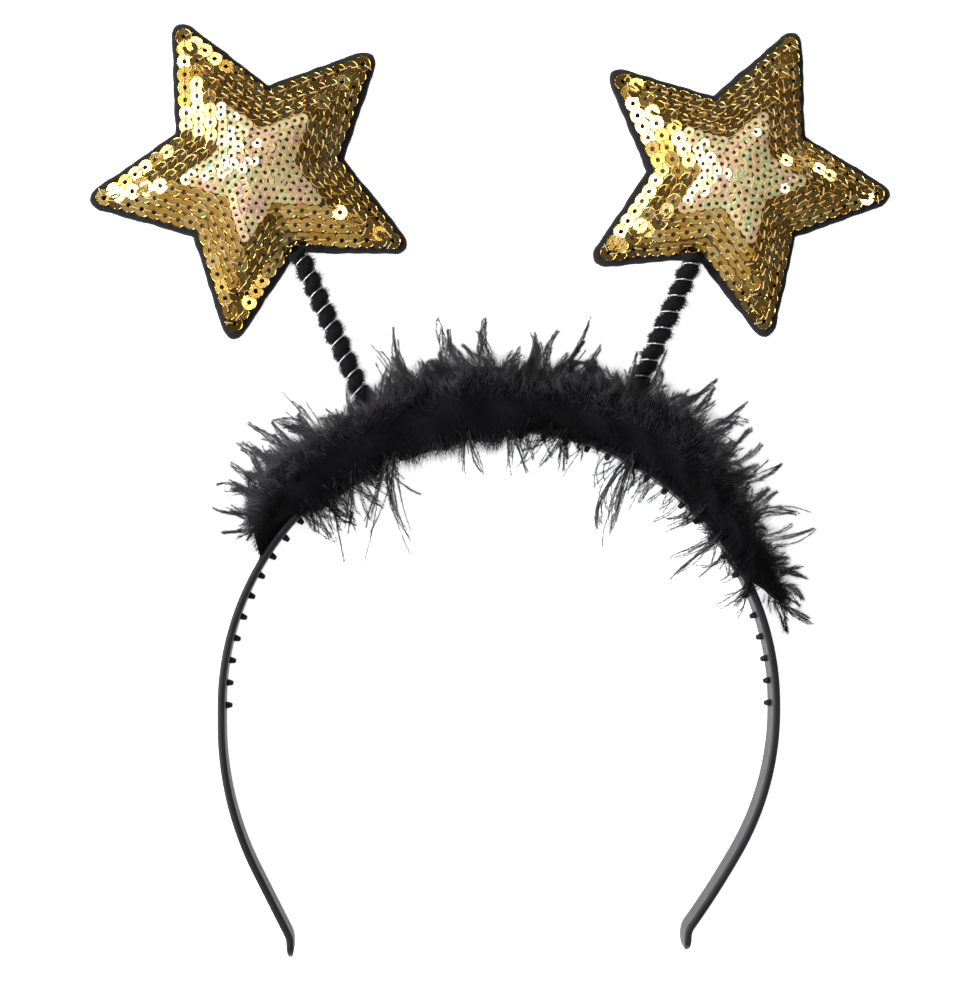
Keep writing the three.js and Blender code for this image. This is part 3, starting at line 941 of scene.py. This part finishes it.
# Feather trim
# Rows of tufts around the core: lean is from outward up towards +Z, and the tips lie from one share to the
# other of the way between the body's edge and the longest reach
TUFT_ROWS = table(
    "row lean scatter count least most rise per_mm",
    ("hem", 3, 8, 50, 0.0, 1.0, -1, 11.5),
    ("edge", 22, 9, 50, 0.0, 0.9, 1, 11.5),
    ("brow", 44, 11, 50, -0.5, 0.3, 2, 8.5),
    ("crest", 74, 14, 36, -1.1, -0.4, 2, 7.5),
)

# Short tufts that hang inside the band: the stretch of bearings, how many, and the radii of their tips
FRINGE_ROWS = table(
    "start end count shallow deep",
    (-46, -24, 44, 64.5, 54.5),
    (-24, 4, 30, 65.5, 62),
    (1, 18, 22, 65.5, 57),
    (18, 66, 44, 65.5, 57),
)

# Long strands outside the outline: bearing of the root, then bearing and reach of the tip
STRANDS = table(
    "root bearing reach",
    (-53, -55.5, 84.5),
    (-50, -52.0, 87.0),
    (-46, -48.2, 88.0),
    (-43, -44.7, 90.4),
    (-39, -41.8, 91.8),
    (-33, -34.8, 92.6),
    (-17, -19.5, 93.0),
    (-15, -15.9, 95.4),
    (-9, -9.3, 95.0),
    (-2, -2.2, 94.3),
    (6, 5.0, 90.9),
    (11, 13.2, 97.3),
    (10, 8.6, 92.0),
    (24, 24.9, 95.2),
    (32, 33.8, 95.2),
    (37, 39.5, 96.0),
    (46, 49.6, 90.7),
    (54, 58.0, 88.8),
    (57, 61.3, 88.6),
    (60, 67.7, 80.9),
    (64, 71.2, 79.0),
    (66, 75.7, 78.6),
    (66, 76.0, 72.3),
)

# Wisps inside the band: bearing of the root at the band's inner edge, bearing and radius of the tip, and how
# far the middle bows towards +X
WISPS = table(
    "root bearing radius bow",
    (-36, -47.8, 50.5, -0.7),
    (-23.5, -47.8, 46.1, 0),
    (-32, -42.0, 55.0, 0.5),
    (-22, -31.2, 40.0, -1.8),
    (-22, -28.3, 55.5, 0),
    (-24, -29.0, 50.0, -1),
    (-7, -4.3, 54.7, -0.7),
    (-7, -8.9, 56.7, -0.7),
    (2, 8.0, 55.3, -0.5),
    (2, 2.3, 55.4, -1),
    (13, 9.6, 58.3, 0),
    (13, 15.0, 58.0, 0),
    (13, 4.2, 61.8, 0),
    (28, 33.7, 45.8, -1),
    (28, 33.4, 49.1, -1),
    (28, 29.8, 49.5, -3),
    (28, 29.7, 45.7, -3.9),
    (28, 31.7, 61.8, 0),
    (52, 49.0, 53.1, 0.8),
    (52, 54.0, 50.3, 0.8),
    (46, 44.0, 58.0, 0),
    (62, 70.6, 61.8, 0),
)

TUFT = Sizes(barbs=6, spread=2.6, root=0.9)
BARB = Sizes(girth=0.06, steps=5, barbule=3.0, barbule_girth=0.038, splay=26)
DOWN = Sizes(count=26000, shortest=1.8, longest=4.6, girth=0.05, ruffle=0.42, lip=6000, ends=2400)
FUZZ = Sizes(count=7000, shortest=3, longest=8, girth=0.045, ruffle=0.3)
FRINGE = Sizes(barbs=3, fluff=0.65, per_mm=11)
WISP = Sizes(strands=6, fluff=0.6, spread=1.1, per_mm=12, girth=0.15)
CORE = Sizes(columns=36, rings=200, lumps=0.06)
LIP = Sizes(reach=5.4, lean=140, width=26, start=-47, end=9)
SEAT = Sizes(reach=1.6, lean=185, width=45)
PARTING = Sizes(half_width=2.4, ease=3)
# Feather tones by radius; the outer paling is partly painted light shining through the thin tufts
TONE = Sizes(black=0.08, outer=0.57, outer_from=72, outer_to=83, inner=0.45, inner_from=66, inner_to=61)
STRAND_PER_MM = 12
SECTORS = 4


def ease(value, start, end):
    """Smooth rise from 0 at the start to 1 at the end."""
    share = np.clip((value - start) / (end - start), 0, 1)
    return share * share * (3 - 2 * share)


def trim_shape(bearing, column):
    """How far out the trim's body, or its longest tufts, reach at a bearing."""
    bearings = [row.bearing for row in TRIM_SHAPE]
    return np.interp(bearing, bearings, [getattr(row, column) for row in TRIM_SHAPE])


def clear_of_band(points):
    """Points moved out of the room that the band needs, and up off the surface."""
    away = points[..., :2] - CROWN
    radius = np.linalg.norm(away, axis=-1)
    under = (radius < TRIM.band_radius) & (points[..., 2] < TRIM.band_top)
    grow = np.where(under, TRIM.band_radius / radius, 1)
    height = np.maximum(points[..., 2], TRIM.floor)
    return np.concatenate([away * grow[..., None] + CROWN, height[..., None]], axis=-1)


def over_band(points):
    """Points lifted over the band's front edge where they would cut through it, and up off the surface."""
    radius = from_crown(points)
    across = np.abs(radius - BAND.crown_radius) < BAND.thickness / 2 + 0.4
    lowest = np.where(across, TRIM.band_top, TRIM.floor)
    return np.concatenate([points[..., :2], np.maximum(points[..., 2], lowest)[..., None]], axis=-1)


def beside_springs(points):
    """Points pushed aside from the springs, where those stand clear of the trim."""
    for row in BOPPERS:
        away = points[..., :2] - CROWN
        right = heading(row.spring + 90)
        side = away @ right[:2]
        along = away @ heading(row.spring)[:2]
        clear = PARTING.half_width * ease(along, row.clear, row.clear + PARTING.ease)
        shift = np.copysign(np.maximum(np.abs(side), clear), side) - side
        points = points + shift[..., None] * right
    return points


def core_point(bearing, lean, sink=0.0):
    """A point of the trim's lumpy core, seated on the band. Its left half laps over the front edge."""
    lean = np.asarray(lean, float)
    half = (trim_shape(bearing, "body") - TRIM.cover - TRIM.band_radius) / 2
    rise = TRIM.half_height * (0.5 + 0.5 * half / 7)
    lumps = np.sin(np.radians(3 * lean + 23 * bearing)) + np.sin(np.radians(5 * lean - 41 * bearing))
    share = 1 + CORE.lumps * lumps
    lap = ease(bearing, LIP.start, LIP.start + 5) * ease(-bearing, -LIP.end, -LIP.end + 12)
    lip = LIP.reach * lap * np.exp(-(((lean - LIP.lean) / LIP.width) ** 2))
    seat = SEAT.reach * np.exp(-(((lean - SEAT.lean) / SEAT.width) ** 2))
    out = (half * share - sink) * np.cos(np.radians(lean)) - lip - seat
    up = (rise * share - sink) * np.sin(np.radians(lean))
    start_cut = TRIM.start_cut * (1 - ease(bearing, TRIM.start, TRIM.start + 8))
    end_cut = TRIM.end_cut * ease(bearing, TRIM.end - 8, TRIM.end)
    slant = (start_cut + end_cut) * np.cos(np.radians(lean))
    return clear_of_band(polar(TRIM.band_radius + half + out, bearing + slant, TRIM.mid + up))


def tone(points, spread):
    """Tone of feathers: black along the band, paler towards the outer edge and in the fringe."""
    radius = from_crown(points)
    # The outer paling is partly the tufts' own charcoal and partly painted light shining through them
    outer = TONE.outer * ease(radius, TONE.outer_from, TONE.outer_to)
    inner = TONE.inner * ease(-radius, -TONE.inner_from, -TONE.inner_to)
    return np.clip((TONE.black + outer + inner) * (1 + rng.normal(0, spread, len(points))), 0, 1)


def build_core(material):
    """The dark heart of the trim, lumpy where the feathers bunch up and covered with down."""
    lean = np.degrees(circle(CORE.columns))
    rings = [core_point(bearing, lean) for bearing in np.linspace(TRIM.start, TRIM.end, CORE.rings)]
    skin = Skin()
    skin.add(*capped(rings, rings[0].mean(0), rings[-1].mean(0)), 0.0)
    add_down(skin)
    add_fuzz(skin)
    return skin.make("marabou_core", material)


def add_ruffled(skin, feet, lie, sizes, spread):
    """Hairs that lie in given directions, ruffled, and clear of the band and the springs."""
    lie = unit(lie + rng.normal(0, sizes.ruffle, lie.shape))
    tips = feet + lie * rng.uniform(sizes.shortest, sizes.longest, len(feet))[:, None]
    add_hairs(skin, feet, over_band(beside_springs(tips)), sizes.girth, tone(tips, spread))


def add_down(skin):
    """Hairs that hide the core's surface, combed from its middle and ruffled, thickest along the lip."""
    count = DOWN.count
    bearing = rng.uniform(TRIM.start, TRIM.end, count)
    lean = rng.uniform(-35, 185, count)
    order = np.arange(count)
    on_lip = order < DOWN.lip
    bearing[on_lip] = rng.uniform(LIP.start, LIP.end, DOWN.lip)
    lean[on_lip] = rng.uniform(122, 172, DOWN.lip)
    on_end = order >= count - DOWN.ends
    beyond = np.where(on_end, np.where(order % 2 == 0, -1, 1), 0)
    set_back = rng.uniform(0, 7, count)
    bearing = np.where(beyond < 0, TRIM.start + set_back, bearing)
    bearing = np.where(beyond > 0, TRIM.end - set_back, bearing)
    lean = np.where(on_end, rng.uniform(-75, 120, count), lean)
    feet = core_point(bearing, lean, 0.2)
    outward = heading(bearing) * np.cos(np.radians(lean))[:, None]
    outward[:, 2] = np.sin(np.radians(lean))
    swirl = heading(bearing + 90) * (0.45 * np.sin(0.3 * bearing + lean / 40))[:, None]
    outwards = (lean < 105) | (bearing < LIP.start)
    comb = heading(bearing) * np.where(outwards, 0.6, -0.9)[:, None] + swirl
    comb[:, 2] -= np.where(on_lip, 0.75, 0)
    comb += heading(bearing + 90) * beyond[:, None]
    stand = np.where(on_end, 0.9, 0.5)[:, None] * outward
    add_ruffled(skin, feet, stand + comb, DOWN, 0.6)


def add_fuzz(skin):
    """Longer soft hairs that stand off the outer edge and fill the gaps between the tufts."""
    count = FUZZ.count
    bearing = rng.uniform(TRIM.start, TRIM.end, count)
    lean = rng.uniform(-25, 50, count)
    feet = core_point(bearing, lean, 0.3)
    swirl = heading(bearing + 90) * (0.3 * np.sin(0.21 * bearing) + 0.5 * np.sin(1.7 * bearing))[:, None]
    add_ruffled(skin, feet, heading(bearing, 0.1) + swirl, FUZZ, 0.4)


def tuft_barbs(root, tip, count, fluff, per_mm):
    """Barbs of one tuft: the longest meet at its point and the shorter ones end along its sides."""
    barbs = []
    length = np.linalg.norm(tip - root)
    ahead = unit(tip - root)
    bow = np.cross(ahead, rng.normal(0, 1, 3)) * 0.07 * length
    shade = rng.uniform(0.65, 1.35)
    for index in range(count):
        reach = 1 if index == 0 else 1 - 0.5 * rng.uniform(0, 1) ** 1.4
        side = np.cross(ahead, rng.normal(0, 1, 3))
        start = root + rng.normal(0, TUFT.root, 3)
        end = root + ahead * reach * length + side * (TUFT.spread * (1 - reach) + 0.25)
        barbs.append(barb(start, end, bow * reach, fluff, per_mm, shade))
    return barbs


def barb(root, tip, bow, fluff, per_mm, shade, girth=BARB.girth):
    """One barb: its ends, its bow and wave off the straight line, and how fluffy, pale and thick it is."""
    length = np.linalg.norm(tip - root)
    return {
        "root": root,
        "tip": tip,
        "bow": bow + rng.normal(0, 0.025 * length, 3),
        "wave": rng.normal(0, 0.014 * length, 3),
        "girth": girth,
        "fluff": fluff,
        "barbules": length * per_mm,
        "shade": shade,
    }


def body_tufts():
    """Tufts all round the core, swept along the band near its ends and ruffled everywhere."""
    barbs = []
    for row in TUFT_ROWS:
        for index in range(row.count):
            spot = (index + rng.uniform(0, 1)) / row.count
            bearing = TRIM.start + (TRIM.end - TRIM.start) * spot
            root = core_point(bearing, row.lean + rng.normal(0, row.scatter), 0.6)
            swing = 3 * (2 * spot - 1) ** 3 + 2 * math.sin(0.21 * bearing) + rng.normal(0, 1.8)
            share = row.least + (row.most - row.least) * rng.uniform(0, 1) ** 1.3
            body = trim_shape(bearing + swing, "body")
            reach = body + share * (trim_shape(bearing + swing, "reach") - body)
            tip = polar(reach, bearing + swing, root[2] + row.rise + rng.normal(0, 1.2))
            barbs += tuft_barbs(root, tip, TUFT.barbs, 1.0, row.per_mm)
    return barbs


def long_strands():
    """Strands that stand out of the outline and wisps that hang inside the band."""
    barbs = []
    for row in STRANDS:
        root = core_point(row.root, rng.uniform(4, 28), 0.6)
        tip = polar(row.reach, row.bearing, rng.uniform(4, 12))
        barbs += tuft_barbs(root, tip, TUFT.barbs, 1.0, STRAND_PER_MM)
    for row in WISPS:
        root = polar(BAND.crown_radius + 1.0, row.root, 10.6)
        tip = polar(row.radius, row.bearing, rng.uniform(2, 6))
        sweep = np.array([row.bow + rng.normal(0, 0.4), rng.normal(0, 0.4), 0])
        for _ in range(WISP.strands):
            short = 0.55 * rng.uniform(0, 1) ** 1.5
            end = tip + (root - tip) * short + rng.normal(0, WISP.spread, 3) * (0.3 + short)
            bow = sweep * (1 - short) + [0, 0, 1.8]
            start = root + rng.normal(0, 0.5, 3)
            barbs.append(barb(start, end, bow, WISP.fluff, WISP.per_mm, 1.0, WISP.girth))
    return barbs


def inner_fringe():
    """Short tufts from the trim's inner edge, over the band's front edge and down inside it."""
    barbs = []
    for row in FRINGE_ROWS:
        for _ in range(row.count):
            bearing = rng.uniform(row.start, row.end)
            root = polar(BAND.crown_radius + rng.uniform(0.5, 2.5), bearing, 10.8)
            radius = row.shallow + (row.deep - row.shallow) * rng.uniform(0, 1) ** 1.5
            tip = polar(radius, bearing + rng.normal(0, 3), rng.uniform(5, 10))
            barbs += tuft_barbs(root, tip, FRINGE.barbs, FRINGE.fluff, FRINGE.per_mm)
    return barbs


def add_barbs(skin, barbs):
    """Feather barbs: tapering stems with fine barbules all along them."""
    parts = {key: np.array([row[key] for row in barbs]) for key in barbs[0]}
    count = len(barbs)

    def along(which, t):
        t = t[..., None]
        spine = parts["root"][which] * (1 - t) + parts["tip"][which] * t
        spine += parts["bow"][which] * (4 * t * (1 - t)) + parts["wave"][which] * np.sin(2 * np.pi * t)
        return over_band(beside_springs(spine))

    stations = BARB.steps + 1
    steps = np.broadcast_to(np.linspace(0, 1, stations), (count, stations))
    spine = along(np.arange(count)[:, None], steps)
    tangent = unit(np.gradient(spine, axis=1))
    across = unit(np.cross(tangent, rng.normal(0, 1, (count, 1, 3))))
    other = np.cross(tangent, across)
    girth = (parts["girth"][:, None] * (1 - 0.85 * np.linspace(0, 1, stations)))[:, :, None, None]
    turn = np.radians([0, 120, 240])
    spokes = across[:, :, None] * np.cos(turn)[:, None] + other[:, :, None] * np.sin(turn)[:, None]
    size = 3 * stations
    ends = np.array([[0, 2, 1], [size - 3, size - 2, size - 1]])
    stems = (spine[:, :, None] + spokes * girth).reshape(count, size, 3)
    shade = tone(parts["tip"], 0.2) * parts["shade"]
    skin.add_each(stems, np.concatenate([grid_faces(stations, 3), ends]), shade)

    which = np.repeat(np.arange(count), parts["barbules"].astype(int))
    amount = len(which)
    t = rng.uniform(0, 1, amount) ** 0.55 * 0.97 + 0.02
    feet = along(which, t)
    ahead = unit(along(which, t + 0.02) - feet)
    away = unit(np.cross(ahead, rng.normal(0, 1, (amount, 3))))
    splay = np.radians(rng.normal(BARB.splay, 9, amount))[:, None]
    reach = BARB.barbule * parts["fluff"][which] * (1 - 0.5 * t) * rng.uniform(0.5, 1.3, amount)
    ends = feet + (ahead * np.cos(splay) + away * np.sin(splay)) * reach[:, None]
    ends = over_band(beside_springs(ends))
    add_hairs(skin, feet, ends, BARB.barbule_girth, tone(ends, 0.4) * parts["shade"][which])


def build_trim(material):
    """The trim in sectors along the crown, so that no piece grows too heavy."""
    barbs = body_tufts() + long_strands() + inner_fringe()
    bearings = [math.atan2(stem["root"][0] - CROWN_X, stem["root"][1] - CROWN_Y) for stem in barbs]
    pieces = [build_core(material)]
    for index, part in enumerate(np.array_split(np.argsort(bearings), SECTORS)):
        skin = Skin()
        add_barbs(skin, [barbs[i] for i in part])
        pieces.append(skin.make(f"marabou_tufts_{index + 1}", material))
    return pieces


# Studio
# Soft lights round the object: bearing and angle off the zenith, then width and height in metres
LIGHTS = table(
    "name bearing off_zenith width height",
    ("key_back", -61.5, 47.5, 0.85, 0.90),
    ("key_sliver", -47, 58.5, 0.22, 0.60),
    ("key_side", -91, 41, 0.81, 1.11),
    ("key_low", -98.5, 57, 0.46, 0.49),
    ("edge_left", -85, 73.5, 0.72, 1.00),
    ("low_right", 110, 38, 0.44, 0.48),
    ("far_glint", 7, 48, 0.48, 0.48),
    ("edge_right", 35.5, 78, 0.16, 0.37),
)
LIGHT_RADIANCE = 14
LIGHT_DISTANCE = 3


def add_light(row):
    """A soft rectangular light that faces the object."""
    light = bpy.data.lights.new(row.name, "AREA")
    light.shape = "RECTANGLE"
    light.size = row.width
    light.size_y = row.height
    light.energy = LIGHT_RADIANCE * math.pi * row.width * row.height
    item = bpy.data.objects.new(row.name, light)
    tilt = math.radians(row.off_zenith)
    item.location = (heading(row.bearing) * math.sin(tilt) + UP * math.cos(tilt)) * LIGHT_DISTANCE
    bpy.context.scene.collection.objects.link(item)
    item.rotation_euler = (-item.location).to_track_quat("-Z", "Y").to_euler()


def build_world():
    """Room that is pale low down to the lower left, and dark overhead and to the upper right."""
    world = bpy.data.worlds.new("studio")
    bpy.context.scene.world = world
    world.use_nodes = True
    room = Nodes(world.node_tree)
    way = room.node("TexCoord").outputs["Generated"]
    height = room.join("DOT_PRODUCT", way, (0, 0, 1), "VectorMath")
    overhead = room.node("MapRange", Value=height, From_Min=0.7, To_Max=1.2)
    low_left = room.join("DOT_PRODUCT", way, (-0.5, -0.85, 0), "VectorMath")
    pale = room.join("SUBTRACT", low_left, overhead.outputs["Result"])
    greys = [(0.0, 0.075), (0.2, 0.10), (0.48, 0.38), (0.75, 0.50)]
    colour = room.ramp(pale, [(place, (grey, grey, grey)) for place, grey in greys])
    room.put(room.nodes["Background"].inputs["Color"], colour)


def build_floor(material):
    """A wide pale floor just under the object."""
    reach = 1500
    corners = [[x, y, -0.1] for x, y in ((-reach, -reach), (reach, -reach), (reach, reach), (-reach, reach))]
    skin = Skin()
    skin.add(corners, [[0, 1, 2], [0, 2, 3]])
    floor = skin.make("studio_floor", material)


CAMERA = Sizes(place=(-0.0296, -0.0001, 0.583), target=(-0.001, -0.0002, 0.004), view_width=0.2401)


def build_camera():
    """The photo's view, with +Y upward in it."""
    data = bpy.data.cameras.new("camera")
    camera = bpy.data.objects.new("camera", data)
    bpy.context.scene.collection.objects.link(camera)
    camera.location = CAMERA.place
    sight = Vector(CAMERA.place) - Vector(CAMERA.target)
    back = sight.normalized()
    right = Vector((0, 1, 0)).cross(back).normalized()
    camera.rotation_euler = Matrix((right, back.cross(right), back)).transposed().to_euler()
    data.sensor_width = 36
    data.lens = data.sensor_width * sight.length / CAMERA.view_width
    bpy.context.scene.camera = camera


# Assembly
band = build_headband(plastic_paint())
place_piece(band, "band", "band_plastic", "headband")

for plume in build_trim(marabou_paint()):
    place_piece(plume, "band", "marabou", "feather_trim")

felt_look = felt_paint()
cloth_look = backing_paint()
gold_look = gold_paint()
centre_look = iridescent_paint()
thread_look = thread_paint()
pile_look = chenille_paint()
wire_look = wire_paint()
for row in BOPPERS:
    side = row.side
    star = Star(row)
    body = f"star_{side}"
    build_spring(row, pile_look, wire_look)
    place_piece(build_felt(star, side, felt_look), body, "felt", f"star_felt_{side}")
    pad = place_piece(build_pad(star, side, cloth_look), body, "pad_fabric", f"star_pad_{side}")
    discs, stitches = build_gold(star, side, gold_look, thread_look)
    place_piece(discs, body, "gold_sequins", f"gold_sequins_{side}")
    place_piece(stitches, body, "gold_sequins")
    centre = build_centre(star, side, centre_look)
    place_piece(centre, body, "centre_sequins", f"centre_sequins_{side}")

build_floor(floor_paint())
build_world()
for light_row in LIGHTS:
    add_light(light_row)
build_camera()
bpy.context.scene.view_settings.view_transform = "Standard"
